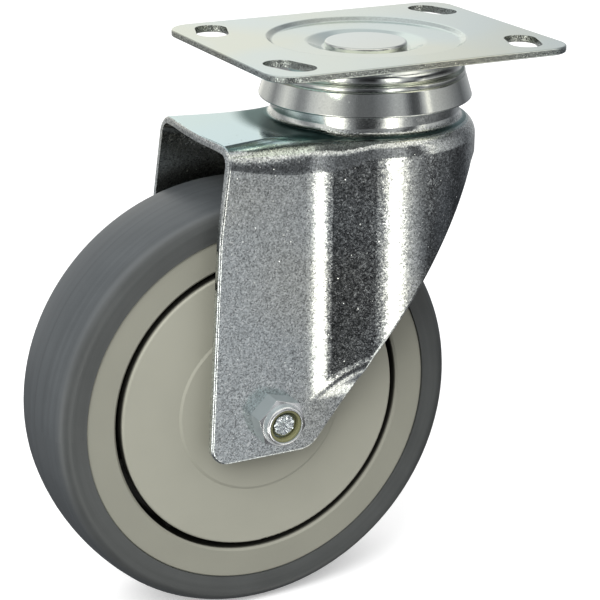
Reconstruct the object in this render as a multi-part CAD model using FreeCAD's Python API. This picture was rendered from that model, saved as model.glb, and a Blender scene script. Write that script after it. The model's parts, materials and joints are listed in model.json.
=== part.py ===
import FreeCAD, Part

# A swivel plate castor: a slotted top plate, a swivel head with two ball rows, a pressed steel fork
# and a 125 mm rubber wheel that runs on two ball bearings.
# Millimetres. The origin is the centre of the plate's top face, on the swivel axis. +Z is up.
# The wheel trails towards -X and its axle is parallel to Y. The axle nut is on the -Y side, called near.

import math
import os

Vector = FreeCAD.Vector

# Mounting plate
PLATE_LENGTH = 93.0
PLATE_WIDTH = 75.0
PLATE_THICKNESS = 2.0
PLATE_CORNER_R = 8.0
PLATE_EDGE_R = 0.5
SLOT_X = 36.6
SLOT_Y = 25.0
SLOT_R = 4.6
SLOT_HALF_RUN = 3.6
SLOT_ANGLE = 110.0
RECESS_R = 28.4
RECESS_DEPTH = 1.1
RECESS_WALL = 1.5
DISH_TOP_R = 17.0
DISH_FLOOR_R = 12.6
DISH_DEPTH = 3.0
PLATE_HUB_BOTTOM = -5.0
PLATE_STEP_BOTTOM = -3.2

# Kingpin
KINGPIN_HEAD_R = 11.8
KINGPIN_HEAD_TOP = -1.2
KINGPIN_SHANK_R = 8.0
KINGPIN_TAIL_R = 6.0
KINGPIN_RIVET_R = 9.2
KINGPIN_RIVET_BOTTOM = -22.0

# Upper race ring and dust ring
NECK_TOP_R = 28.6
NECK_R = 26.9
NECK_WAIST = -6.2
RACE_INNER_R = 25.3
SHEET = 2.0
FLANGE_R = 28.5
FLANGE_TOP = -8.2
FLANGE_BOTTOM = -9.6
DUST_TOP_R = 28.6
DUST_BOTTOM_R = 30.7
DUST_BOTTOM = -16.5
DUST_WALL = 1.2

# Ball rows of the swivel head
BALL_GAP = 0.025
UPPER_BALL_R = 3.175
UPPER_PITCH_R = 22.1
UPPER_BALL_Z = -8.5
UPPER_BALLS = 20
LOWER_BALL_R = 2.38
LOWER_PITCH_R = 14.0
LOWER_BALL_Z = -15.0
LOWER_BALLS = 17

# Fork
FORK_TOP = -21.8
LEG_Y = 23.5
DOME_R = 31.8
PANEL_ANGLE = 112.0
CREASE_R = 20.0
WALLS_FRONT_X = -62.0
# The outer radius of the bend at the fork's top, for corners of the outline up to each x
FORK_BEND = [(-60, 3.2), (-20, 9.0), (40, 5.5)]
HAT_R = 27.0
HAT_TOP = -10.9
HAT_SHOULDER_R = 24.8
HAT_WALL_TOP = -16.4
HAT_FOOT_R = 2.2
HAT_HOLE_R = 9.5
RUN_OUT_LOW = -94.5
RUN_OUT_SLOPE = 45.0
RUN_OUT_R = 12.0
RUN_OUT_EDGE_R = 8.0
REAR_TOP = (23.1, -33.0)
REAR_UPPER_BREAK = (-11.8, -86.2)
REAR_LOWER_BREAK = (-15.2, -96.0)
REAR_BOTTOM_X = -28.6
LEG_BOTTOM = -112.7
FRONT_TOP_X = -53.2
FRONT_BREAK = (-56.6, -46.0)
FRONT_BOTTOM_X = -60.1
FRONT_LIP_R = 130.0
FRONT_LIP_X = -54.3
FRONT_LIP_HALF = 18.9
FORK_EDGE_R = 0.8

# Wheel, with its centre at (WHEEL_X, 0, WHEEL_Z)
WHEEL_X = -40.5
WHEEL_Z = -100.5
TYRE_R = 62.5
TYRE_HALF = 15.7
TYRE_CROWN_R = 70.0
TYRE_CROWN_HALF = 12.0
TYRE_SHOULDER_R = 4.0
RIM_R = 53.0
RIM_HALF = 15.2
RIM_INNER_R = 44.3
RIM_BEVEL_R = 44.9
RIM_LOCK_DEPTH = 3.0
RIM_LOCK_HALF = 8.0
WEB_HALF = 2.0
HUB_R = 18.0
HUB_HALF = 14.2
RIB_COUNT = 10
RIB_HALF = 7.0
RIB_THICKNESS = 2.0

# Thread guards
GUARD_R = 42.4
GUARD_FACE = 15.2
GUARD_WALL = 1.6
GUARD_SKIRT = 11.4
GUARD_BOSS_R = 24.6
GUARD_BOSS_FACE = 15.5
GUARD_HOLLOW_R = 20.0
GUARD_HOLLOW_FACE = 14.6
GUARD_TUBE_R = 10.5

# Axle parts
BOLT_R = 4.0
LEG_HOLE_R = 4.2
HEX_FLATS = 13.0
BOLT_HEAD_HEIGHT = 5.3
BOLT_TURN = 10.0
BOLT_TIP_SHORT = 1.1
BOLT_TIP_BEVEL = 0.9
NUT_HEX_HEIGHT = 6.2
NUT_HEIGHT = 8.0
NUT_COLLAR_R = 5.75
NUT_TURN = 44.0
NYLON_R = 4.85
NYLON_SEAT_DEPTH = 0.6
SLEEVE_R = 6.0
SLEEVE_BORE_R = 4.1
SPACER_R = 8.2

# Wheel bearings, 12 x 28 x 8
BEARING_BORE_R = 6.0
BEARING_OUTER_R = 14.0
BEARING_WIDTH = 8.0
BEARING_INNER_FACE = 6.0
BEARING_PITCH_R = 10.0
BEARING_BALL_R = 2.38
BEARING_BALLS = 8
BEARING_TRACK_HALF = 1.7
BEARING_SHIELD_WALL = 0.4
BEARING_CAGE_WALL = 1.6
BEARING_CAGE_WIDTH = 5.8
BEARING_POCKET_GAP = 0.08
BEARING_LOW = -BEARING_INNER_FACE - BEARING_WIDTH
BEARING_HIGH = -BEARING_INNER_FACE
BEARING_MIDDLE = (BEARING_LOW + BEARING_HIGH) / 2

INNER_LEG_Y = LEG_Y - SHEET
WHEEL_CENTRE = Vector(WHEEL_X, 0, WHEEL_Z)
Z_AXIS = Vector(0, 0, 1)
Y_AXIS = Vector(0, 1, 0)


# Drawing helpers


def rounded_outline(corners, place):
    """A closed wire through corners (a, b, radius), each rounded to its radius and put in space by place."""
    count = len(corners)
    points = [Vector(a, b, 0) for a, b, _ in corners]
    turns = []
    for i, (_, _, radius) in enumerate(corners):
        here = points[i]
        back = (points[i - 1] - here).normalize()
        ahead = (points[(i + 1) % count] - here).normalize()
        half = back.getAngle(ahead) / 2
        reach = radius / math.tan(half)
        bisector = (back + ahead).normalize()
        middle = here + bisector * (radius / math.sin(half) - radius)
        turns.append((here + back * reach, middle, here + ahead * reach, radius))
    edges = []
    for i, (start, middle, end, radius) in enumerate(turns):
        if radius > 0:
            edges.append(Part.Arc(place(start), place(middle), place(end)).toShape())
        following = turns[(i + 1) % count][0]
        if following.distanceToPoint(end) > 1e-6:
            edges.append(Part.makeLine(place(end), place(following)))
    return Part.Wire(edges)


def on_swivel(p):
    """A profile point (radius, height) in the half plane of the swivel axis."""
    return Vector(p.x, 0, p.y)


def on_axle(p):
    """A profile point (radius, position along the axle) in a half plane of the wheel axis."""
    return Vector(WHEEL_X + p.x, p.y, WHEEL_Z)


def seen_from_side(p):
    return Vector(p.x, 0, p.y)


def turned_on_swivel(corners):
    return Part.Face(rounded_outline(corners, on_swivel)).revolve(Vector(0, 0, 0), Z_AXIS, 360)


def turned_on_axle(corners):
    return Part.Face(rounded_outline(corners, on_axle)).revolve(WHEEL_CENTRE, Y_AXIS, 360)


def torus_on_swivel(pitch, z, radius):
    return Part.makeTorus(pitch, radius, Vector(0, 0, z), Z_AXIS)


def torus_on_axle(pitch, y, radius):
    return Part.makeTorus(pitch, radius, Vector(WHEEL_X, y, WHEEL_Z), Y_AXIS)


def cylinder_on_axle(radius, y_low, y_high):
    return Part.makeCylinder(radius, y_high - y_low, Vector(WHEEL_X, y_low, WHEEL_Z), Y_AXIS)


def tube_on_axle(inner_r, outer_r, y_low, y_high):
    return cylinder_on_axle(outer_r, y_low, y_high).cut(cylinder_on_axle(inner_r, y_low, y_high))


def mirrored(shape):
    """The same part on the far side of the wheel."""
    return shape.mirror(Vector(0, 0, 0), Y_AXIS)


def extruded_from_side(corners):
    """An outline (x, z) drawn from the side and run through the whole width of the castor."""
    depth = 2 * PLATE_WIDTH
    face = Part.Face(rounded_outline(corners, seen_from_side))
    face.translate(Vector(0, -depth / 2, 0))
    return face.extrude(Vector(0, depth, 0))


def extruded_from_top(corners, z_low, z_high):
    face = Part.Face(rounded_outline(corners, lambda p: Vector(p.x, p.y, z_low)))
    return face.extrude(Vector(0, 0, z_high - z_low))


# Swivel head


def slot_cutter(side_x, side_y):
    """A slot near one corner, leaning inwards towards the plate's long edge."""
    run = Vector(
        side_x * math.cos(math.radians(SLOT_ANGLE)),
        side_y * math.sin(math.radians(SLOT_ANGLE)),
        0,
    )
    centre = Vector(side_x * SLOT_X, side_y * SLOT_Y, -2 * PLATE_THICKNESS)
    height = 3 * PLATE_THICKNESS
    first = centre - run * SLOT_HALF_RUN
    second = centre + run * SLOT_HALF_RUN
    across = Vector(-run.y, run.x, 0) * SLOT_R
    sides = [first + across, second + across, second - across, first - across]
    middle = Part.Face(Part.makePolygon(sides + sides[:1])).extrude(Vector(0, 0, height))
    ends = [Part.makeCylinder(SLOT_R, height, point) for point in (first, second)]
    return middle.fuse(ends).removeSplitter()


def mounting_plate():
    half_x = PLATE_LENGTH / 2
    half_y = PLATE_WIDTH / 2
    corners = [(-half_x, -half_y), (half_x, -half_y), (half_x, half_y), (-half_x, half_y)]
    plate = extruded_from_top([(x, y, PLATE_CORNER_R) for x, y in corners], -PLATE_THICKNESS, 0)
    rims = [e for e in plate.Edges if abs(e.BoundBox.ZLength) < 1e-6]
    plate = plate.makeFillet(PLATE_EDGE_R, rims)
    raised_step = turned_on_swivel(
        [
            (0, -PLATE_THICKNESS / 2, 0),
            (RECESS_R + 0.6, -PLATE_THICKNESS / 2, 0),
            (RECESS_R + 0.6, -PLATE_THICKNESS, 0),
            (NECK_TOP_R - 0.2, PLATE_STEP_BOTTOM, 0),
            (DISH_TOP_R + 0.3, PLATE_STEP_BOTTOM, 2.0),
            (DISH_FLOOR_R + 0.6, PLATE_HUB_BOTTOM, 1.0),
            (0, PLATE_HUB_BOTTOM, 0),
        ]
    )
    recess = turned_on_swivel(
        [
            (0, 1, 0),
            (RECESS_R + 0.5, 1, 0),
            (RECESS_R + 0.5, 0, 0),
            (RECESS_R, 0, 0.8),
            (RECESS_R - RECESS_WALL, -RECESS_DEPTH, 1.2),
            (DISH_TOP_R, -RECESS_DEPTH - 0.3, 3.0),
            (DISH_FLOOR_R, -DISH_DEPTH, 0.8),
            (0, -DISH_DEPTH, 0),
        ]
    )
    pin_hole = Part.makeCylinder(KINGPIN_SHANK_R, 12, Vector(0, 0, -10))
    slots = [slot_cutter(side_x, side_y) for side_x in (-1, 1) for side_y in (-1, 1)]
    return plate.fuse(raised_step).cut(recess).cut(pin_hole).cut(slots)


def kingpin():
    seat = lower_cup_top()
    return turned_on_swivel(
        [
            (0, KINGPIN_HEAD_TOP, 0),
            (KINGPIN_HEAD_R, KINGPIN_HEAD_TOP, 0.7),
            (KINGPIN_HEAD_R, -DISH_DEPTH, 0),
            (KINGPIN_SHANK_R, -DISH_DEPTH, 0),
            (KINGPIN_SHANK_R, seat, 0),
            (KINGPIN_TAIL_R, seat, 0),
            (KINGPIN_TAIL_R, seat - 2.3, 0),
            (KINGPIN_RIVET_R, seat - 2.3, 0),
            (KINGPIN_RIVET_R - 0.4, KINGPIN_RIVET_BOTTOM, 1.8),
            (0, KINGPIN_RIVET_BOTTOM, 0),
        ]
    )


def upper_race_ring():
    """The pressed ring under the plate: a web on the kingpin, the waisted neck wall and an outward flange."""
    web_bottom = UPPER_BALL_Z + UPPER_BALL_R + BALL_GAP
    blank = turned_on_swivel(
        [
            (KINGPIN_SHANK_R, PLATE_HUB_BOTTOM, 0),
            (DISH_FLOOR_R + 0.6, PLATE_HUB_BOTTOM, 1.0),
            (DISH_TOP_R + 0.3, PLATE_STEP_BOTTOM, 2.0),
            (NECK_TOP_R, PLATE_STEP_BOTTOM, 0.3),
            (NECK_R, NECK_WAIST, 2.5),
            (NECK_R, FLANGE_TOP, 0.9),
            (FLANGE_R, FLANGE_TOP, 0.65),
            (FLANGE_R, FLANGE_BOTTOM, 0.25),
            (RACE_INNER_R, FLANGE_BOTTOM, 0),
            (RACE_INNER_R, web_bottom, 2.0),
            (DISH_TOP_R, web_bottom, 1.5),
            (DISH_FLOOR_R, PLATE_HUB_BOTTOM - SHEET, 1.0),
            (KINGPIN_SHANK_R, PLATE_HUB_BOTTOM - SHEET, 0),
        ]
    )
    track = torus_on_swivel(UPPER_PITCH_R, UPPER_BALL_Z, UPPER_BALL_R + BALL_GAP)
    return blank.cut(track)


def dust_ring():
    """The conical ring that hangs from the neck's flange and covers the upper ball row."""
    slope = (DUST_BOTTOM_R - DUST_TOP_R) / (FLANGE_BOTTOM - DUST_BOTTOM)
    inner_top = FLANGE_BOTTOM - DUST_WALL
    inner_top_r = DUST_TOP_R - DUST_WALL + slope * DUST_WALL
    return turned_on_swivel(
        [
            (inner_top_r - 1.2, FLANGE_BOTTOM, 0),
            (DUST_TOP_R, FLANGE_BOTTOM, 0.9),
            (DUST_BOTTOM_R, DUST_BOTTOM, 0.5),
            (DUST_BOTTOM_R - DUST_WALL, DUST_BOTTOM, 0.3),
            (inner_top_r, inner_top, 0.3),
            (inner_top_r - 1.2, inner_top, 0),
        ]
    )


def lower_cup_top():
    """The height of the lower cup's seat on the kingpin's shoulder."""
    return LOWER_BALL_Z - LOWER_BALL_R + 0.5


def lower_race_cup():
    top = lower_cup_top()
    outer_r = LOWER_PITCH_R + LOWER_BALL_R + 3.0
    blank = turned_on_swivel(
        [
            (KINGPIN_TAIL_R, top, 0),
            (LOWER_PITCH_R + LOWER_BALL_R + 0.6, top, 0),
            (outer_r - 1.8, LOWER_BALL_Z - 0.2, 0.3),
            (outer_r, LOWER_BALL_Z - 0.2, 0.5),
            (outer_r - 0.4, top - 2.3, 1.4),
            (KINGPIN_TAIL_R, top - 2.3, 0),
        ]
    )
    return blank.cut(torus_on_swivel(LOWER_PITCH_R, LOWER_BALL_Z, LOWER_BALL_R + BALL_GAP))


def ball_row(count, pitch, radius, centre, axis, start):
    """Loose balls, evenly spaced on a circle about an axis."""
    balls = []
    for i in range(count):
        turn = FreeCAD.Rotation(axis, 360.0 * i / count)
        place = centre + turn.multVec(start * pitch)
        balls.append(Part.makeSphere(radius, place))
    return Part.makeCompound(balls)


# Fork


def wall_outline(inset):
    """The fork seen from the top, set in by inset: flat legs, slanted panels and the round rear wall."""
    radius = DOME_R - inset
    leg = LEG_Y - inset
    angle = math.radians(PANEL_ANGLE)
    panel_end_x = (radius - leg * math.sin(angle)) / math.cos(angle)
    round_corner_y = radius * math.tan(angle / 2)
    near_side = [
        (WALLS_FRONT_X, -leg, 0),
        (panel_end_x, -leg, CREASE_R + inset),
        (radius, -round_corner_y, radius),
    ]
    far_side = [(x, -y, r) for x, y, r in reversed(near_side)]
    return near_side + far_side


def run_out_bar(inset):
    """A long bar, drawn from the front, that makes the slanted panels run out into the flat legs."""
    leg = LEG_Y - inset
    wide = DOME_R + 3
    slope = math.radians(RUN_OUT_SLOPE)
    low = RUN_OUT_LOW + inset * math.tan(slope / 2)
    far_side = [
        (leg, 2 * LEG_BOTTOM, 0),
        (leg, low, RUN_OUT_R + inset),
        (wide, low + (wide - leg) / math.tan(slope), 0),
        (wide, 10, 0),
    ]
    near_side = [(-y, z, r) for y, z, r in reversed(far_side)]
    face = Part.Face(rounded_outline(far_side + near_side, lambda p: Vector(-PLATE_WIDTH, p.x, p.y)))
    return face.extrude(Vector(2 * PLATE_WIDTH, 0, 0))


def hat(inset):
    """The raised race ring on the fork's top, set in by inset on its outside."""
    radius = HAT_R - inset
    top = HAT_TOP - inset
    below = FORK_TOP - inset - 3
    return turned_on_swivel(
        [
            (0, top, 0),
            (HAT_SHOULDER_R - inset / 2, top, 0.8),
            (radius, HAT_WALL_TOP - inset, 1.5),
            (radius, below, 0),
            (0, below, 0),
        ]
    )


def bend_radius(x):
    """The bend's outer radius: small at the front, widest at the crease, smaller round the rear."""
    return next(radius for limit, radius in FORK_BEND if x < limit)


def bent_at_top(walls, inset):
    """The walls with a bend along their top rim. Its radius changes from corner to corner."""
    rim = []
    for number, e in enumerate(walls.Edges, 1):
        if e.BoundBox.ZMin > FORK_TOP - inset - 1e-3 and e.BoundBox.XMax > WALLS_FRONT_X + 1:
            ends = (e.valueAt(e.FirstParameter), e.valueAt(e.LastParameter))
            rim.append((number, *(bend_radius(end.x) - inset for end in ends)))
    document = FreeCAD.newDocument("bend")
    blank = document.addObject("Part::Feature", "blank")
    blank.Shape = walls
    bend = document.addObject("Part::Fillet", "bend")
    bend.Base = blank
    bend.Edges = rim
    document.recompute()
    rounded = bend.Shape.copy()
    FreeCAD.closeDocument(document.Name)
    return rounded


def fork_walls(inset):
    """The legs, panels and rear wall under the flat top, set in by inset."""
    top = FORK_TOP - inset
    walls = bent_at_top(extruded_from_top(wall_outline(inset), 2 * LEG_BOTTOM, top), inset)
    walls = walls.common(run_out_bar(inset))
    run_out_edges = []
    for e in walls.Edges:
        spot = e.CenterOfMass
        on_panel = abs(spot.y) > LEG_Y - inset + 0.5 and e.BoundBox.XMax < 20
        level = RUN_OUT_LOW < spot.z < RUN_OUT_LOW + 25
        if on_panel and level and e.BoundBox.XLength > 0.5 and e.BoundBox.ZLength > 0.5:
            run_out_edges.append(e)
    return walls.makeFillet(RUN_OUT_EDGE_R - inset, run_out_edges)


def is_on_hat(point):
    return abs(math.hypot(point.x, point.y) - HAT_R) < 0.02


def fork_form(inset):
    """The solid form of the fork, set in by inset. The fork is the form less the same form set in."""
    return fork_walls(inset).fuse(hat(inset))


def with_round_hat_foot(form):
    """The fork's outer form with a fillet where the hat rises from the flat top."""
    foot = []
    for e in form.Edges:
        ends = (e.valueAt(e.FirstParameter), e.valueAt(e.LastParameter))
        near_top = e.BoundBox.ZMin < FORK_TOP and e.BoundBox.ZMax > FORK_TOP - HAT_FOOT_R
        if near_top and e.Length > 1 and all(is_on_hat(end) for end in ends):
            foot.append(e)
    return form.makeFillet(HAT_FOOT_R, foot)


def side_outline():
    """The fork seen from the side: a nearly upright front edge and a diagonal rear edge."""
    return [
        (FRONT_TOP_X, 5, 0),
        (FRONT_TOP_X, FORK_TOP + 1, 4),
        FRONT_BREAK + (60,),
        (FRONT_BOTTOM_X, LEG_BOTTOM, 5.5),
        (REAR_BOTTOM_X, LEG_BOTTOM, 7),
        REAR_LOWER_BREAK + (12,),
        REAR_UPPER_BREAK + (15,),
        REAR_TOP + (4,),
        (DOME_R + 8, REAR_TOP[1], 0),
        (DOME_R + 8, 5, 0),
    ]


def front_lip():
    """The bowed front edge of the fork's top panel."""
    height = 2 * SHEET
    low = FORK_TOP - 1.5 * SHEET
    bow = Part.makeCylinder(FRONT_LIP_R, height, Vector(FRONT_LIP_X + FRONT_LIP_R, 0, low))
    strip = Part.makeBox(20, 2 * FRONT_LIP_HALF, height, Vector(FRONT_LIP_X - 5, -FRONT_LIP_HALF, low))
    return bow.common(strip)


def with_round_rim(shell, outer, trim):
    """The fork with its cut edge rounded on the outside, all along the trimmed outline."""
    rim = []
    for e in shell.Edges:
        middle = Part.Vertex(e.valueAt((e.FirstParameter + e.LastParameter) / 2))
        gaps = [middle.distToShape(form.Shells[0])[0] for form in (outer, trim)]
        if max(gaps) < 1e-3:
            rim.append(e)
    return shell.makeFillet(FORK_EDGE_R, rim)


def fork():
    outer = with_round_hat_foot(fork_form(0))
    trim = extruded_from_side(side_outline()).fuse(front_lip())
    shell = outer.cut(fork_form(SHEET)).common(trim)
    shell = with_round_rim(shell, outer, trim)
    cuts = [
        torus_on_swivel(UPPER_PITCH_R, UPPER_BALL_Z, UPPER_BALL_R + BALL_GAP),
        torus_on_swivel(LOWER_PITCH_R, LOWER_BALL_Z, LOWER_BALL_R + BALL_GAP),
        Part.makeCylinder(HAT_HOLE_R, 10, Vector(0, 0, -18)),
        cylinder_on_axle(LEG_HOLE_R, -30, 30),
    ]
    return shell.cut(cuts)


# Wheel


def tyre_profile(side):
    """Half of the tyre's outer profile, from the tread's crown to the side's foot, on one side."""
    angle = math.asin(TYRE_CROWN_HALF / TYRE_CROWN_R)
    crown_end = TYRE_R - TYRE_CROWN_R * (1 - math.cos(angle))
    shoulder = crown_end - math.tan(angle) * (TYRE_HALF - TYRE_CROWN_HALF)
    return [(shoulder, side * TYRE_HALF, TYRE_SHOULDER_R), (RIM_R, side * TYRE_HALF, 0)]


def tyre():
    angle = math.asin(TYRE_CROWN_HALF / TYRE_CROWN_R)
    apex = TYRE_R + TYRE_CROWN_R * (1 / math.cos(angle) - 1)
    lock = RIM_R - RIM_LOCK_DEPTH
    inside = [
        (RIM_R, -RIM_LOCK_HALF - 1.5, 0),
        (lock, -RIM_LOCK_HALF, 0),
        (lock, RIM_LOCK_HALF, 0),
        (RIM_R, RIM_LOCK_HALF + 1.5, 0),
    ]
    near = list(reversed(tyre_profile(-1)))
    return turned_on_axle(near + [(apex, 0, TYRE_CROWN_R)] + tyre_profile(1) + inside[::-1])


def wheel_core():
    """The moulded plastic wheel body: rim, web, hub and ribs, with a seat for each bearing."""
    lock = RIM_R - RIM_LOCK_DEPTH
    rib_low = HUB_R - 1
    rim_half = [
        (RIM_R, RIM_LOCK_HALF + 1.5, 0),
        (RIM_R, RIM_HALF, 0.5),
        (RIM_BEVEL_R, RIM_HALF, 0.3),
        (RIM_INNER_R, RIM_HALF - 0.6, 0),
        (RIM_INNER_R, WEB_HALF, 1.0),
        (HUB_R, WEB_HALF, 1.0),
        (HUB_R, HUB_HALF, 0.5),
        (BEARING_OUTER_R, HUB_HALF, 0),
        (BEARING_OUTER_R, BEARING_INNER_FACE, 0),
        (BEARING_OUTER_R - 2.0, BEARING_INNER_FACE, 0),
    ]
    near_half = [(r, -y, rounding) for r, y, rounding in reversed(rim_half)]
    core = turned_on_axle(
        rim_half + near_half + [(lock, -RIM_LOCK_HALF, 0), (lock, RIM_LOCK_HALF, 0)]
    )
    ribs = []
    for i in range(RIB_COUNT):
        for y_low in (-RIB_HALF, WEB_HALF - 0.2):
            rib = Part.makeBox(
                RIM_INNER_R + 0.5 - rib_low,
                RIB_HALF - WEB_HALF + 0.2,
                RIB_THICKNESS,
                Vector(WHEEL_X + rib_low, y_low, WHEEL_Z - RIB_THICKNESS / 2),
            )
            rib.rotate(WHEEL_CENTRE, Y_AXIS, 360.0 * (i + 0.5) / RIB_COUNT)
            ribs.append(rib)
    return core.fuse(ribs)


def near_thread_guard():
    """A plastic disc between the wheel and the near leg, with a slightly raised centre and a tube to the leg."""
    face = -GUARD_FACE
    boss = -GUARD_BOSS_FACE
    bearing_face = -BEARING_INNER_FACE - BEARING_WIDTH
    return turned_on_axle(
        [
            (SLEEVE_R, -INNER_LEG_Y, 0),
            (GUARD_TUBE_R, -INNER_LEG_Y, 0.4),
            (GUARD_TUBE_R, boss, 1.0),
            (GUARD_BOSS_R, boss, 0),
            (GUARD_BOSS_R + 0.8, face, 0),
            (GUARD_R, face, 0.6),
            (GUARD_R, -GUARD_SKIRT, 0),
            (GUARD_R - GUARD_WALL, -GUARD_SKIRT, 0),
            (GUARD_R - GUARD_WALL, face + GUARD_WALL, 0.5),
            (GUARD_HOLLOW_R + 1.0, face + GUARD_WALL, 0),
            (GUARD_HOLLOW_R, -GUARD_HOLLOW_FACE, 0),
            (SPACER_R, -GUARD_HOLLOW_FACE, 0),
            (SPACER_R, bearing_face, 0),
            (SLEEVE_R, bearing_face, 0),
        ]
    )


# Axle


def hexagon(y_low, height, turn):
    """A hexagonal prism on the axle."""
    corner_r = HEX_FLATS / 2 / math.cos(math.radians(30))
    points = []
    for i in range(6):
        angle = math.radians(60 * i + turn)
        corner = Vector(corner_r * math.cos(angle), y_low, corner_r * math.sin(angle))
        points.append(WHEEL_CENTRE + corner)
    return Part.Face(Part.makePolygon(points + points[:1])).extrude(Vector(0, height, 0))


def hex_bevel(y_flat, y_far):
    """A turned blank that bevels a hexagon's corners at y_far by 30 degrees."""
    corner_r = HEX_FLATS / 2 / math.cos(math.radians(30)) + 0.2
    face_r = HEX_FLATS / 2 - 0.2
    drop = (corner_r - face_r) * math.tan(math.radians(30))
    bevel_y = y_far + drop if y_flat > y_far else y_far - drop
    return turned_on_axle(
        [(0, y_flat, 0), (corner_r, y_flat, 0), (corner_r, bevel_y, 0), (face_r, y_far, 0), (0, y_far, 0)]
    )


def axle_bolt():
    head_end = LEG_Y + BOLT_HEAD_HEIGHT
    head = hexagon(LEG_Y, BOLT_HEAD_HEIGHT, BOLT_TURN).common(hex_bevel(LEG_Y, head_end))
    tip = -LEG_Y - NUT_HEIGHT + BOLT_TIP_SHORT
    shank = turned_on_axle(
        [
            (0, tip, 0),
            (BOLT_R - BOLT_TIP_BEVEL, tip, 0),
            (BOLT_R, tip + BOLT_TIP_BEVEL, 0),
            (BOLT_R, LEG_Y, 0),
            (0, LEG_Y, 0),
        ]
    )
    return head.fuse(shank)


def axle_nut():
    """A lock nut: a hexagon with a thin round collar, which holds the nylon ring."""
    face = -LEG_Y
    hex_end = face - NUT_HEX_HEIGHT
    top = face - NUT_HEIGHT
    body = hexagon(hex_end, NUT_HEX_HEIGHT, NUT_TURN).common(hex_bevel(face, hex_end))
    collar = turned_on_axle(
        [(0, hex_end + 1, 0), (NUT_COLLAR_R, hex_end + 1, 0), (NUT_COLLAR_R, top, 0.7), (0, top, 0)]
    )
    ring_seat = cylinder_on_axle(NYLON_R, top - 1, hex_end + NYLON_SEAT_DEPTH)
    bore = cylinder_on_axle(BOLT_R, top - 1, face + 1)
    return body.fuse(collar).cut([ring_seat, bore])


def nut_nylon_ring():
    low = -LEG_Y - NUT_HEIGHT + 0.3
    high = -LEG_Y - NUT_HEX_HEIGHT + NYLON_SEAT_DEPTH
    return turned_on_axle([(BOLT_R, low, 0.3), (NYLON_R, low, 0.2), (NYLON_R, high, 0), (BOLT_R, high, 0)])


# Wheel bearing on the near side


def bearing_track():
    return torus_on_axle(BEARING_PITCH_R, BEARING_MIDDLE, BEARING_BALL_R + BALL_GAP)


def bearing_inner_ring():
    ring = tube_on_axle(BEARING_BORE_R, BEARING_PITCH_R - BEARING_TRACK_HALF, BEARING_LOW, BEARING_HIGH)
    return ring.cut(bearing_track())


def bearing_outer_ring():
    ring = tube_on_axle(BEARING_PITCH_R + BEARING_TRACK_HALF, BEARING_OUTER_R, BEARING_LOW, BEARING_HIGH)
    return ring.cut(bearing_track())


def bearing_shields():
    """Two pressed discs held in the outer ring, clear of the inner ring."""
    inner_r = BEARING_PITCH_R - BEARING_TRACK_HALF + 0.2
    outer_r = BEARING_PITCH_R + BEARING_TRACK_HALF
    set_in = 0.3
    shields = []
    for y in (BEARING_LOW + set_in, BEARING_HIGH - set_in - BEARING_SHIELD_WALL):
        shields.append(tube_on_axle(inner_r, outer_r, y, y + BEARING_SHIELD_WALL))
    return Part.makeCompound(shields)


def bearing_balls():
    centre = Vector(WHEEL_X, BEARING_MIDDLE, WHEEL_Z)
    return ball_row(BEARING_BALLS, BEARING_PITCH_R, BEARING_BALL_R, centre, Y_AXIS, Vector(1, 0, 0))


def bearing_cage():
    """A ring between the balls, with a drilled pocket for each ball."""
    centre = Vector(WHEEL_X, BEARING_MIDDLE, WHEEL_Z)
    pockets = []
    for i in range(BEARING_BALLS):
        outwards = FreeCAD.Rotation(Y_AXIS, 360.0 * i / BEARING_BALLS).multVec(Vector(1, 0, 0))
        radius = BEARING_BALL_R + BEARING_POCKET_GAP
        pockets.append(Part.makeCylinder(radius, BEARING_OUTER_R, centre, outwards))
    half_wall = BEARING_CAGE_WALL / 2
    half_width = BEARING_CAGE_WIDTH / 2
    ring = tube_on_axle(
        BEARING_PITCH_R - half_wall,
        BEARING_PITCH_R + half_wall,
        BEARING_MIDDLE - half_width,
        BEARING_MIDDLE + half_width,
    )
    return ring.cut(pockets)


def swivel_balls(count, pitch, radius, z):
    return ball_row(count, pitch, radius, Vector(0, 0, z), Z_AXIS, Vector(1, 0, 0))


def all_parts():
    near_parts = {
        "thread_guard": near_thread_guard(),
        "bearing_inner_ring": bearing_inner_ring(),
        "bearing_outer_ring": bearing_outer_ring(),
        "bearing_shields": bearing_shields(),
        "bearing_cage": bearing_cage(),
        "bearing_balls": bearing_balls(),
    }
    parts = {
        "mounting_plate": mounting_plate(),
        "kingpin": kingpin(),
        "upper_race_ring": upper_race_ring(),
        "dust_ring": dust_ring(),
        "lower_race_cup": lower_race_cup(),
        "upper_swivel_balls": swivel_balls(UPPER_BALLS, UPPER_PITCH_R, UPPER_BALL_R, UPPER_BALL_Z),
        "lower_swivel_balls": swivel_balls(LOWER_BALLS, LOWER_PITCH_R, LOWER_BALL_R, LOWER_BALL_Z),
        "fork": fork(),
        "axle_bolt": axle_bolt(),
        "axle_nut": axle_nut(),
        "nut_nylon_ring": nut_nylon_ring(),
        "axle_sleeve": tube_on_axle(SLEEVE_BORE_R, SLEEVE_R, -INNER_LEG_Y, INNER_LEG_Y),
        "bearing_spacer": tube_on_axle(SLEEVE_R, SPACER_R, -BEARING_INNER_FACE, BEARING_INNER_FACE),
        "tyre": tyre(),
        "wheel_core": wheel_core(),
    }
    for name, shape in near_parts.items():
        parts["near_" + name] = shape
        parts["far_" + name] = mirrored(shape)
    return parts


os.makedirs("parts", exist_ok=True)
for name, shape in all_parts().items():
    if not shape.isValid():
        print("not valid:", name)
    print(name, len(shape.Solids), round(shape.Volume, 1))
    shape.exportStep("parts/" + name + ".step")
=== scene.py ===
import json
import math
import random

import bmesh
import bpy
from mathutils import Matrix, Vector


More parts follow.
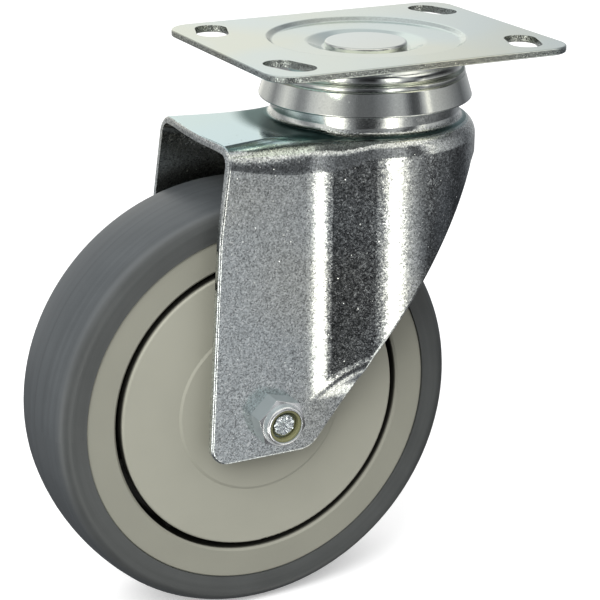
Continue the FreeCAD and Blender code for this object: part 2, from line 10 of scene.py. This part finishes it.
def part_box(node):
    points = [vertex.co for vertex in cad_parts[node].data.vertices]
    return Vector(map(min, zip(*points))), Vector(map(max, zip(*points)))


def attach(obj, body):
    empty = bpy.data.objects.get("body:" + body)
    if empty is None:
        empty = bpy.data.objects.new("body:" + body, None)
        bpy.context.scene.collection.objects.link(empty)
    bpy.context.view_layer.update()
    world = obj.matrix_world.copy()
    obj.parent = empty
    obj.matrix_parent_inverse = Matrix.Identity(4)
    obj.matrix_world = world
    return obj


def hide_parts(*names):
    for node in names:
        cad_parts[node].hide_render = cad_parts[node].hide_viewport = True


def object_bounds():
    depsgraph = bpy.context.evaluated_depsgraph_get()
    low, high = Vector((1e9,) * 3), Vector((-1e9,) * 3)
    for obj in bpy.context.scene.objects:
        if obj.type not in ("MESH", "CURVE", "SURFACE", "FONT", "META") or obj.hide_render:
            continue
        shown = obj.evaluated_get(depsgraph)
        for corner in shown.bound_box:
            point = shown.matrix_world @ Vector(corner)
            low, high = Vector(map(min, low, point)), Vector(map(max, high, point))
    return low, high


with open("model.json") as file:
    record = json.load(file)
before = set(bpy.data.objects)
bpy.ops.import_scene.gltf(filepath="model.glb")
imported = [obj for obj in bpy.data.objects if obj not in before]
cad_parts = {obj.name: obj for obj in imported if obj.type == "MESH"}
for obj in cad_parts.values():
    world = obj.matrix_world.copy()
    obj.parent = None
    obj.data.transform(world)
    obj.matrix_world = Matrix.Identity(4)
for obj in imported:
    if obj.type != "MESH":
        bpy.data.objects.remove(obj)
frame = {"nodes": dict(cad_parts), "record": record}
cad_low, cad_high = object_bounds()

# Places that the looks depend on, in metres. Y runs along the axle, and the swivel axis is X = Y = 0.
WHEEL_CENTRE = sum(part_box("tyre"), Vector()) / 2
TYRE_SHOULDER_Y = 0.0143
WHEEL_FACE_Y = 0.0152
FORK_TOP_Z = -0.0218
HAT_FOOT_R = 0.0335
# Where the painted shade round the fork's hat has faded out
HAT_SHADE_EDGE_R = 0.04

# ---------------------------------------------------------------- node helpers


class Graph:
    """Short calls for building a shader node tree."""

    def __init__(self, tree):
        self.tree = tree

    def add(self, kind, **settings):
        node = self.tree.nodes.new(kind)
        for key, value in settings.items():
            setattr(node, key, value)
        return node

    def plug(self, socket, value):
        """Links or sets one input. A colour may be given without its fourth part."""
        if isinstance(value, bpy.types.NodeSocket):
            self.tree.links.new(value, socket)
        elif value is not None:
            if isinstance(value, tuple) and len(value) == 3 and len(socket.default_value) == 4:
                value = (*value, 1.0)
            socket.default_value = value

    def math(self, operation, a, b=None):
        node = self.add("ShaderNodeMath", operation=operation)
        for socket, value in zip(node.inputs, (a, b)):
            self.plug(socket, value)
        return node.outputs[0]

    def remap(self, value, low, high, out_low=0.0, out_high=1.0, kind="LINEAR"):
        node = self.add("ShaderNodeMapRange", interpolation_type=kind)
        for socket, item in zip(node.inputs, (value, low, high, out_low, out_high)):
            self.plug(socket, item)
        return node.outputs[0]

    def mix(self, share, a, b, blend="MIX"):
        node = self.add("ShaderNodeMix", data_type="RGBA", blend_type=blend)
        self.plug(node.inputs[0], share)
        self.plug(node.inputs[6], a)
        self.plug(node.inputs[7], b)
        return node.outputs[2]

    def times(self, a, b):
        """One colour multiplied by another."""
        return self.mix(1.0, a, b, "MULTIPLY")

    def vector(self, operation, a, b=None):
        node = self.add("ShaderNodeVectorMath", operation=operation)
        self.plug(node.inputs[0], a)
        self.plug(node.inputs[1], b)
        return node.outputs["Value"] if operation in ("DOT_PRODUCT", "LENGTH") else node.outputs[0]

    def scaled(self, place, factors):
        return self.vector("MULTIPLY", place, factors)

    def spread(self, value):
        """The same value in all three parts of a vector."""
        node = self.add("ShaderNodeCombineXYZ")
        for socket in node.inputs:
            self.plug(socket, value)
        return node.outputs[0]

    def shaded(self, colour, value):
        return self.scaled(colour, self.spread(value))

    def parts(self, vector):
        """The x, y and z parts of a vector."""
        node = self.add("ShaderNodeSeparateXYZ")
        self.plug(node.inputs[0], vector)
        return node.outputs

    def noise(self, place, scale, detail=2.0, roughness=0.5, distortion=0.0):
        node = self.add("ShaderNodeTexNoise")
        self.plug(node.inputs["Vector"], place)
        node.inputs["Scale"].default_value = scale
        node.inputs["Detail"].default_value = detail
        node.inputs["Roughness"].default_value = roughness
        node.inputs["Distortion"].default_value = distortion
        return node.outputs[0]

    def cells(self, place, scale, out="Distance"):
        node = self.add("ShaderNodeTexVoronoi")
        self.plug(node.inputs["Vector"], place)
        node.inputs["Scale"].default_value = scale
        return node.outputs[out]

    def bump(self, height, distance, normal=None):
        node = self.add("ShaderNodeBump")
        node.inputs["Strength"].default_value = 1.0
        node.inputs["Distance"].default_value = distance
        self.plug(node.inputs["Height"], height)
        self.plug(node.inputs["Normal"], normal)
        return node.outputs[0]

    def surface_direction(self):
        """The surface's own direction, before any bump."""
        return self.add("ShaderNodeNewGeometry").outputs["True Normal"]

    def facing_up(self):
        return self.parts(self.surface_direction())[2]


def new_material(name):
    """A material with a shader on it, its node graph, the shader, and the place on the object."""
    material = bpy.data.materials.new(name)
    material.use_nodes = True
    material.node_tree.nodes.clear()
    graph = Graph(material.node_tree)
    surface = graph.add("ShaderNodeBsdfPrincipled")
    output = graph.add("ShaderNodeOutputMaterial")
    material.node_tree.links.new(surface.outputs[0], output.inputs[0])
    place = graph.add("ShaderNodeTexCoord").outputs["Object"]
    return material, graph, surface, place


def reopened(material):
    """The node graph and the shader of a finished material, to add to it."""
    surface = next(n for n in material.node_tree.nodes if n.type == "BSDF_PRINCIPLED")
    return Graph(material.node_tree), surface


def source_of(socket):
    return socket.links[0].from_socket


def tinted(base, factors):
    return tuple(c * k for c, k in zip(base, factors))


# ---------------------------------------------------------------- zinc-plated steel

# Crystals per metre, and for those that lean, the lean
GRAIN_CELLS = 2800.0
SMALL_LEANS = (2700.0, 0.06)
LARGE_LEANS = (1100.0, 0.022)
SPARKS = (560.0, 0.7)
# What the plating's film multiplies the steel's colour by; last come the painted teal reflection tint for
# level faces and the painted shade tint for the fork's top round its hat
COOL_FILM = (0.94, 1.0, 1.03)
WARM_FILM = (1.03, 1.01, 0.9)
TEAL_REFLECTION_TINT = (0.74, 0.92, 1.0)
HAT_SHADE_TINT = (0.14, 0.23, 0.22)
EDGE_ROUNDING = 0.00022


def zinc(name, base, grain, roughness, tint=0.5, sparks=1.0, teal=0.2, hat_shaded=False):
    """Bright zinc plating: crystal grains that each lean a little, sparks and a faint coloured film.

    Level faces are smoother and get a painted teal reflection tint. A further switch paints shade on the
    fork's top, round its hat, standing in for the hat's dark reflection.
    """
    material, g, surface, place = new_material(name)
    cloud = g.noise(place, 38.0, 3.0, 0.55)
    film = g.noise(place, 22.0, 1.0, 0.4, 0.6)
    film_tint = g.mix(g.remap(film, 0.35, 0.65), tinted(base, COOL_FILM), tinted(base, WARM_FILM))
    colour = g.mix(tint, base, film_tint)
    level = g.remap(g.facing_up(), 0.76, 0.92)
    # Painted reflection: level faces are tinted teal, more the more they face up
    colour = g.mix(g.math("MULTIPLY", level, teal), colour, g.times(colour, TEAL_REFLECTION_TINT))
    rough = g.remap(cloud, 0.3, 0.7, roughness * 0.85, roughness * 1.25)
    rough = g.math("MULTIPLY", rough, g.remap(level, 0.0, 1.0, 1.0, 0.6))
    # Painted shade: a dark patch on the fork's level top, fading out from the hat's foot, for the hat's
    # dark reflection
    if hat_shaded:
        from_axis = g.vector("LENGTH", g.scaled(place, (1.0, 1.0, 0.0)))
        on_hat = g.remap(g.parts(place)[2], FORK_TOP_Z + 0.0006, FORK_TOP_Z + 0.0012)
        hat_shade = g.math("MULTIPLY", g.remap(from_axis, HAT_SHADE_EDGE_R, HAT_FOOT_R, kind="SMOOTHSTEP"), level)
        hat_shade = g.math("MULTIPLY", hat_shade, g.math("SUBTRACT", 1.0, on_hat))
        # The hat itself counts as level, so it is smoother and gets the painted teal reflection tint
        level = g.math("MAXIMUM", level, g.math("MULTIPLY", on_hat, 0.8))
        colour = g.mix(hat_shade, colour, g.times(colour, HAT_SHADE_TINT))
        rough = g.math("ADD", rough, g.math("MULTIPLY", hat_shade, 0.3))
    shade = g.vector("DOT_PRODUCT", g.cells(place, GRAIN_CELLS, "Color"), (0.6, 0.4, 0.0))
    shade = g.remap(shade, 0.0, 1.0, 1.0 - 0.72 * grain, 1.0 + 0.28 * grain)
    shade = g.remap(level, 0.0, 1.0, shade, 1.0)
    g.plug(surface.inputs["Base Color"], g.shaded(colour, shade))
    surface.inputs["Metallic"].default_value = 1.0
    g.plug(surface.inputs["Roughness"], rough)
    is_spark = g.remap(g.cells(place, SPARKS[0]), 0.07, 0.12, 1.0, 0.0)
    bright = g.shaded(lean(g, place, *SPARKS, sparks), is_spark)
    leaning = g.vector("ADD", lean(g, place, *SMALL_LEANS, grain), lean(g, place, *LARGE_LEANS, grain))
    leaning = g.vector("ADD", leaning, bright)
    leaning = g.shaded(leaning, g.remap(level, 0.0, 1.0, 1.0, 0.2))
    rounding = g.add("ShaderNodeBevel", samples=4)
    rounding.inputs["Radius"].default_value = EDGE_ROUNDING
    normal = g.vector("NORMALIZE", g.vector("ADD", rounding.outputs["Normal"], leaning))
    g.plug(surface.inputs["Normal"], g.bump(g.noise(place, 3000.0, 1.0, 0.5), 0.000006, normal))
    return material


def lean(g, place, scale, angle, strength):
    """A random lean for each small cell of the surface."""
    offset = g.vector("SUBTRACT", g.cells(place, scale, "Color"), (0.5, 0.5, 0.5))
    return g.scaled(offset, (angle * strength,) * 3)


def sheared(material):
    """Roughens and darkens the upright faces of a cut sheet, as a punch leaves them."""
    g, surface = reopened(material)
    place = g.add("ShaderNodeTexCoord").outputs["Object"]
    upright = g.remap(g.math("ABSOLUTE", g.facing_up()), 0.5, 0.3)
    tears = g.noise(g.scaled(place, (1.0, 1.0, 0.7)), 3600.0, 1.0, 0.7)
    normal = g.bump(g.math("MULTIPLY", tears, upright), 0.00012, source_of(surface.inputs["Normal"]))
    g.plug(surface.inputs["Normal"], normal)
    shade = g.remap(upright, 0.0, 1.0, 1.0, g.remap(tears, 0.4, 0.6, 0.25, 1.0))
    g.plug(surface.inputs["Base Color"], g.shaded(source_of(surface.inputs["Base Color"]), shade))
    return material


def dull_and_shaded_flats(material):
    """Duller on the flats round the nut than on its chamfer and collar, and greyer there with painted
    shade.
    """
    g, surface = reopened(material)
    outward = g.vector("DOT_PRODUCT", g.surface_direction(), (0.0, -1.0, 0.0))
    side = g.remap(g.math("ABSOLUTE", outward), 0.25, 0.1)
    # Painted shade: the flats get a darker grey than the chamfer and collar
    colour = g.mix(side, source_of(surface.inputs["Base Color"]), (0.55, 0.62, 0.63))
    g.plug(surface.inputs["Base Color"], colour)
    g.plug(surface.inputs["Metallic"], g.remap(side, 0.0, 1.0, 0.9, 0.6))
    g.plug(surface.inputs["Roughness"], g.remap(side, 0.0, 1.0, 0.16, 0.35))
    return material


# ---------------------------------------------------------------- rubber and plastic


def rubber(name, base):
    """Moulded rubber, with faint streaks round the wheel, a parting line and a painted highlight along
    the shoulder.
    """
    material, g, surface, place = new_material(name)
    cloud = g.noise(place, 60.0, 4.0, 0.6)
    from_centre = g.vector("SUBTRACT", place, tuple(WHEEL_CENTRE))
    x, y, z = g.parts(from_centre)
    beside = g.math("ABSOLUTE", y)
    rolled_out = g.add("ShaderNodeCombineXYZ")
    g.plug(rolled_out.inputs[0], g.vector("LENGTH", g.scaled(from_centre, (1.0, 0.0, 1.0))))
    g.plug(rolled_out.inputs[1], y)
    g.plug(rolled_out.inputs[2], g.math("MULTIPLY", g.math("ARCTAN2", z, x), 0.0015))
    streaks = g.noise(rolled_out.outputs[0], 420.0, 3.0, 0.6)
    parting = g.remap(beside, 0.0, 0.0004, 0.8, 1.0)
    dark, light = (tinted(base, (k, k, k)) for k in (0.92, 1.08))
    colour = g.mix(g.remap(cloud, 0.35, 0.65), dark, light)
    on_side = g.remap(beside, TYRE_SHOULDER_Y - 0.0005, TYRE_SHOULDER_Y + 0.001, kind="SMOOTHSTEP")
    colour = g.times(colour, g.mix(on_side, (0.95, 1.0, 1.04), (0.97, 0.98, 0.95)))
    # Painted highlight: a lighter band along the tyre's shoulder, between tread and side
    rising = g.remap(beside, TYRE_SHOULDER_Y - 0.0015, TYRE_SHOULDER_Y)
    falling = g.remap(beside, TYRE_SHOULDER_Y, TYRE_SHOULDER_Y + 0.0011)
    shoulder_highlight = g.math("MULTIPLY", g.math("SUBTRACT", rising, falling), 0.3)
    colour = g.mix(shoulder_highlight, colour, tinted(base, (1.7, 1.7, 1.7)))
    shade = g.math("MULTIPLY", g.remap(streaks, 0.3, 0.7, 0.87, 1.12), parting)
    g.plug(surface.inputs["Base Color"], g.shaded(colour, shade))
    g.plug(surface.inputs["Roughness"], g.remap(cloud, 0.3, 0.7, 0.34, 0.46))
    g.plug(surface.inputs["Normal"], g.bump(g.noise(place, 1800.0, 2.0, 0.6), 0.00002))
    return material


def plastic(name, base, roughness, face_y=None):
    """Moulded plastic. Deeper than face_y, down in the groove, it is darker: painted shade."""
    material, g, surface, place = new_material(name)
    cloud = g.noise(place, 45.0, 3.0, 0.5)
    dark, light = (tinted(base, (k, k, k)) for k in (0.97, 1.03))
    colour = g.mix(g.remap(cloud, 0.35, 0.65), dark, light)
    if face_y is not None:
        # Painted shade: the groove between guard and rim is darkened below face_y
        outward = g.math("ABSOLUTE", g.parts(place)[1])
        colour = g.shaded(colour, g.remap(outward, face_y - 0.0016, face_y - 0.0004, 0.1, 1.0))
    g.plug(surface.inputs["Base Color"], colour)
    g.plug(surface.inputs["Roughness"], g.remap(cloud, 0.3, 0.7, roughness * 0.92, roughness * 1.08))
    g.plug(surface.inputs["Normal"], g.bump(g.noise(place, 1400.0, 2.0, 0.6), 0.000012))
    return material


# ---------------------------------------------------------------- a look for every CAD node

plate_look = sheared(
    zinc("plate_steel_look", (0.82, 0.84, 0.8), grain=0.3, roughness=0.17, tint=1.0, sparks=0.2)
)
fork_look = zinc(
    "fork_steel_look", (0.9, 0.91, 0.9), grain=1.0, roughness=0.13, tint=0.6, teal=1.0, hat_shaded=True
)
nut_look = dull_and_shaded_flats(
    zinc("nut_steel_look", (1.0, 1.0, 1.0), grain=0.1, roughness=0.16, tint=0.1, sparks=0.1)
)
bolt_look = zinc("bolt_steel_look", (0.92, 0.95, 0.96), grain=0.08, roughness=0.12, sparks=0.2)
ring_look = zinc("zinc_steel_look", (0.84, 0.85, 0.83), grain=0.12, roughness=0.08, sparks=0.3)
bearing_look = zinc("bearing_steel_look", (0.7, 0.71, 0.73), grain=0.1, roughness=0.12, tint=0.0)
cage_look = zinc("cage_steel_look", (0.6, 0.61, 0.62), grain=0.4, roughness=0.3, tint=0.0)
tyre_look = rubber("tyre_rubber_look", (0.078, 0.082, 0.083))
core_look = plastic("wheel_plastic_look", (0.322, 0.32, 0.264), 0.42, face_y=WHEEL_FACE_Y)
guard_look = plastic("guard_plastic_look", (0.415, 0.413, 0.342), 0.4, face_y=WHEEL_FACE_Y)
nylon_look = plastic("nylon_look", (0.2, 0.2, 0.1), 0.35)

# The look of each of the record's material slots, and of the nodes that differ from their slot
SLOT_LOOKS = {
    "zinc_steel": ring_look,
    "bolt_steel": bolt_look,
    "bearing_steel": bearing_look,
    "cage_steel": cage_look,
    "tyre_rubber": tyre_look,
    "wheel_plastic": core_look,
    "nylon": nylon_look,
}
NODE_LOOKS = {
    "mounting_plate": plate_look,
    "fork": fork_look,
    "axle_nut": nut_look,
    "near_thread_guard": guard_look,
    "far_thread_guard": guard_look,
}

for part in frame["record"]["subparts"]:
    part_mesh = frame["nodes"][part["node"]].data
    part_mesh.materials.clear()
    part_mesh.materials.append(NODE_LOOKS.get(part["node"], SLOT_LOOKS[part["material_slot"]]))


# ---------------------------------------------------------------- bolt with a real thread

SEGMENTS = 48
BOLT_R = 0.004
THREAD_ROOT_R = 0.0034
THREAD_PITCH = 0.00125
THREAD_LENGTH = 0.022
ROWS_PER_TURN = 10
END_CHAMFER_R = 0.0031
END_ROWS = [(0.0006, 0.00035), (0.0014, 0.00012), (0.0022, 0.0001), (0.0028, 0.0)]
BOLT_HEAD_HEIGHT = 0.0053
BOLT_HEAD_HALF_ACROSS = 0.0065
BOLT_HEAD_TURN = math.radians(10)
BOLT_HEAD_BEVEL = 0.0007


def rough_end(tip):
    """Rings of (radius, y) across the bolt's cropped end, uneven as the shears leave it."""
    rng = random.Random(11)
    return [
        [
            (radius * rng.uniform(0.9, 1.1), tip + depth + rng.uniform(-0.0001, 0.00022))
            for _ in range(SEGMENTS)
        ]
        for radius, depth in END_ROWS
    ]


def thread(start):
    """Rings of (radius, y) along the thread, which chamfers at its start and runs out at its end."""
    step = THREAD_PITCH / ROWS_PER_TURN
    count = int(THREAD_LENGTH / step)
    crest_r = BOLT_R - 0.00002
    rings = []
    for row in range(count):
        growth = min(1.0, row / 7)
        run_out = min(1.0, (count - row) / 15)
        ring = []
        for k in range(SEGMENTS):
            phase = (row / ROWS_PER_TURN - k / SEGMENTS) % 1.0
            groove = min(1.0, max(0.0, 1.25 * abs(2 * phase - 1) - 0.1))
            cut = (BOLT_R - THREAD_ROOT_R) * groove * run_out
            ring.append((END_CHAMFER_R + (crest_r - END_CHAMFER_R - cut) * growth, start + row * step))
        rings.append(ring)
    rings.append([(BOLT_R, start + count * step)] * SEGMENTS)
    return rings


def hexagon_radius(angle):
    """How far the bolt's hexagon reaches in the direction of an angle."""
    from_flat = (angle - BOLT_HEAD_TURN) % (math.pi / 3) - math.pi / 6
    return BOLT_HEAD_HALF_ACROSS / math.cos(from_flat)


def bolt_head(under):
    """Rings of (radius, y) round the hexagon head, its outer corners turned off."""
    corners = [
        (0.0, BOLT_HEAD_HALF_ACROSS * 1.08),
        (BOLT_HEAD_BEVEL, 1.0),
        (BOLT_HEAD_HEIGHT - BOLT_HEAD_BEVEL, 1.0),
        (BOLT_HEAD_HEIGHT, BOLT_HEAD_HALF_ACROSS),
    ]
    angles = [2 * math.pi * k / SEGMENTS for k in range(SEGMENTS)]
    return [
        [(min(hexagon_radius(angle), limit), under + height) for angle in angles]
        for height, limit in corners
    ]


def threaded_bolt():
    """The axle bolt in full, with a cut thread and the rough end that shows in the nut."""
    low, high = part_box("axle_bolt")
    centre = (low + high) / 2
    under_head = high.y - BOLT_HEAD_HEIGHT
    rings = rough_end(low.y) + thread(low.y + 0.0002)
    rings += [[(BOLT_R, under_head)] * SEGMENTS] + bolt_head(under_head)
    mesh = bmesh.new()
    loops = []
    for ring in rings:
        loop = []
        for k, (radius, y) in enumerate(ring):
            angle = 2 * math.pi * k / SEGMENTS
            x = centre.x + radius * math.cos(angle)
            loop.append(mesh.verts.new((x, y, centre.z + radius * math.sin(angle))))
        loops.append(loop)
    for first, second in zip(loops, loops[1:]):
        for k in range(SEGMENTS):
            following = (k + 1) % SEGMENTS
            mesh.faces.new((first[k], first[following], second[following], second[k]))
    mesh.faces.new(loops[0])
    mesh.faces.new(list(reversed(loops[-1])))
    bmesh.ops.recalc_face_normals(mesh, faces=mesh.faces)
    data = bpy.data.meshes.new("threaded_bolt")
    mesh.to_mesh(data)
    mesh.free()
    data.materials.append(bolt_look)
    return add_object("threaded_bolt", data)


def add_object(name, data):
    added = bpy.data.objects.new(name, data)
    bpy.context.scene.collection.objects.link(added)
    return added


axle_bolt = threaded_bolt()
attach(axle_bolt, "fork")
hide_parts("axle_bolt")

# ---------------------------------------------------------------- studio

# How bright the studio's panels are, as (azimuth in degrees, brightness), in four bands of height.
DEEP_RING = [
    (-180, 0.2), (-120, 0.04), (-104, 0.03), (-78, 0.06), (-66, 0.2), (-56, 1.35), (-30, 1.3),
    (-12, 0.45), (5, 0.15), (20, 0.15), (60, 0.2), (120, 0.2), (180, 0.25),
]
LOW_RING = [
    (-180, 0.68), (-173, 0.95), (-166, 1.2), (-158, 2.3), (-149, 2.3), (-141, 0.8), (-134, 0.35),
    (-127, 0.13), (-118, 0.06), (-106, 0.055), (-102, 0.25), (-98, 0.55), (-94, 1.1), (-89, 2.5),
    (-81, 2.0), (-75, 1.0), (-71, 0.7), (-67, 0.58), (-62, 0.54), (-57, 0.34), (-46, 0.08),
    (-28, 0.15), (-8, 0.07), (8, 0.12), (24, 0.28), (34, 0.34), (46, 0.28), (60, 0.22), (90, 0.25),
    (130, 0.45), (180, 0.45),
]
MIDDLE_RING = [
    (-180, 0.6), (-170, 0.75), (-158, 0.8), (-148, 0.62), (-138, 0.35), (-126, 0.17), (-110, 0.17),
    (-96, 0.3), (-84, 0.5), (-76, 0.45), (-70, 0.22), (-65, 0.1), (-57, 0.14), (-50, 0.6),
    (-45, 1.1), (-40, 0.6), (-22, 0.42), (-5, 0.26), (10, 0.16), (44, 0.5), (54, 0.64), (61, 0.85),
    (80, 1.0), (96, 0.65), (110, 0.6), (125, 0.3), (134, 0.5), (145, 0.76), (155, 0.55),
    (164, 0.3), (172, 0.35), (180, 0.6),
]
HIGH_RING = [
    (-180, 0.95), (-120, 0.85), (-60, 1.0), (-20, 0.95), (5, 0.5), (20, 0.4), (35, 0.5), (50, 0.68),
    (95, 0.6), (130, 0.7), (180, 0.95),
]
WHITE = (1.0, 1.0, 1.0)


def ring_brightness(g, turn, ring, contrast=1.0):
    ramp = g.add("ShaderNodeValToRGB")
    g.plug(ramp.inputs[0], turn)
    stops = ramp.color_ramp.elements
    while len(stops) < len(ring):
        stops.new(0.5)
    for stop, (azimuth, value) in zip(stops, ring):
        stop.position = (azimuth + 180) / 360
        stop.color = (value**contrast,) * 3 + (1,)
    return ramp.outputs[0]


def mirrored_panels(g, x, y, z):
    """What the steel mirrors: bands of panels from the zenith down, dim straight below."""
    turn = g.math("ADD", g.math("DIVIDE", g.math("ARCTAN2", y, x), 2 * math.pi), 0.5)
    height = g.math("MULTIPLY", g.math("ARCSINE", z), 180 / math.pi)
    deep = ring_brightness(g, turn, DEEP_RING)
    low = ring_brightness(g, turn, LOW_RING, 1.4)
    middle = ring_brightness(g, turn, MIDDLE_RING, 1.15)
    high = ring_brightness(g, turn, HIGH_RING)
    panels = g.mix(g.remap(height, -17, -7, kind="SMOOTHSTEP"), low, middle)
    panels = g.mix(g.remap(height, 37, 47, kind="SMOOTHSTEP"), panels, high)
    panels = g.mix(g.remap(height, -30, -44, kind="SMOOTHSTEP"), panels, deep)
    panels = g.mix(g.remap(height, -58, -74, kind="SMOOTHSTEP"), panels, (0.2, 0.2, 0.2))
    return g.times(panels, g.mix(panels, (0.93, 0.98, 1.07), (1.0, 1.0, 0.95)))


def build_world():
    """Panels for what mirrors, a soft light from above for what doesn't, and white behind the object."""
    world = bpy.data.worlds.new("studio")
    world.use_nodes = True
    world.node_tree.nodes.clear()
    bpy.context.scene.world = world
    g = Graph(world.node_tree)
    direction = g.add("ShaderNodeTexCoord").outputs["Generated"]
    x, y, z = g.parts(direction)
    soft_light = g.remap(z, -0.7, 0.9, 0.08, 1.15)
    from_left = g.vector("DOT_PRODUCT", direction, (-0.2, -0.1, 0.0))
    soft_light = g.math("MULTIPLY", soft_light, g.math("ADD", from_left, 1.0))
    path = g.add("ShaderNodeLightPath").outputs
    shown = g.mix(path["Is Diffuse Ray"], mirrored_panels(g, x, y, z), g.spread(soft_light))
    shown = g.mix(path["Is Camera Ray"], shown, WHITE)
    background = g.add("ShaderNodeBackground")
    g.plug(background.inputs[0], shown)
    output = g.add("ShaderNodeOutputWorld")
    g.tree.links.new(background.outputs[0], output.inputs[0])


def build_floor():
    """A pale floor, which the steel doesn't mirror."""
    half = 6.0
    corners = [(-half, -half), (half, -half), (half, half), (-half, half)]
    mesh = bpy.data.meshes.new("floor")
    mesh.from_pydata([(x, y, cad_low.z) for x, y in corners], [], [(0, 1, 2, 3)])
    material, g, surface, _ = new_material("floor_paint")
    g.plug(surface.inputs["Base Color"], (0.93, 0.93, 0.93))
    surface.inputs["Roughness"].default_value = 0.9
    g.plug(surface.inputs["Emission Color"], WHITE)
    surface.inputs["Emission Strength"].default_value = 0.3
    mesh.materials.append(material)
    floor = add_object("floor", mesh)
    floor.visible_glossy = False
    floor.visible_diffuse = False


def build_lamp():
    """A soft box up on the left, in front."""
    data = bpy.data.lights.new("soft_box", "AREA")
    data.size = 0.5
    data.energy = 4.6
    lamp = add_object("soft_box", data)
    lamp.location = (-0.5, -0.45, 0.42)
    aim = Vector((-0.04, 0.0, -0.1)) - lamp.location
    lamp.rotation_euler = aim.to_track_quat("-Z", "Y").to_euler()
    lamp.visible_glossy = False


def build_camera():
    """The camera looks down on the near side, from a little towards the front."""
    azimuth, elevation, roll = math.radians(-26.98), math.radians(19.69), math.radians(0.34)
    across = math.cos(elevation)
    back = Vector((math.sin(azimuth) * across, -math.cos(azimuth) * across, math.sin(elevation)))
    right = Vector((0, 0, 1)).cross(back).normalized()
    up = back.cross(right)
    rolled_right = right * math.cos(roll) + up * math.sin(roll)
    rolled_up = up * math.cos(roll) - right * math.sin(roll)
    data = bpy.data.cameras.new("camera")
    data.lens = 114.24
    data.sensor_width = 36.0
    data.clip_start = 0.01
    camera = add_object("camera", data)
    turn = Matrix((rolled_right, rolled_up, back)).transposed().to_4x4()
    camera.matrix_world = Matrix.Translation((-0.25818, -0.46697, 0.11121)) @ turn
    bpy.context.scene.camera = camera


build_world()
build_floor()
build_lamp()
build_camera()
bpy.context.scene.view_settings.view_transform = "Standard"

bpy.context.view_layer.update()
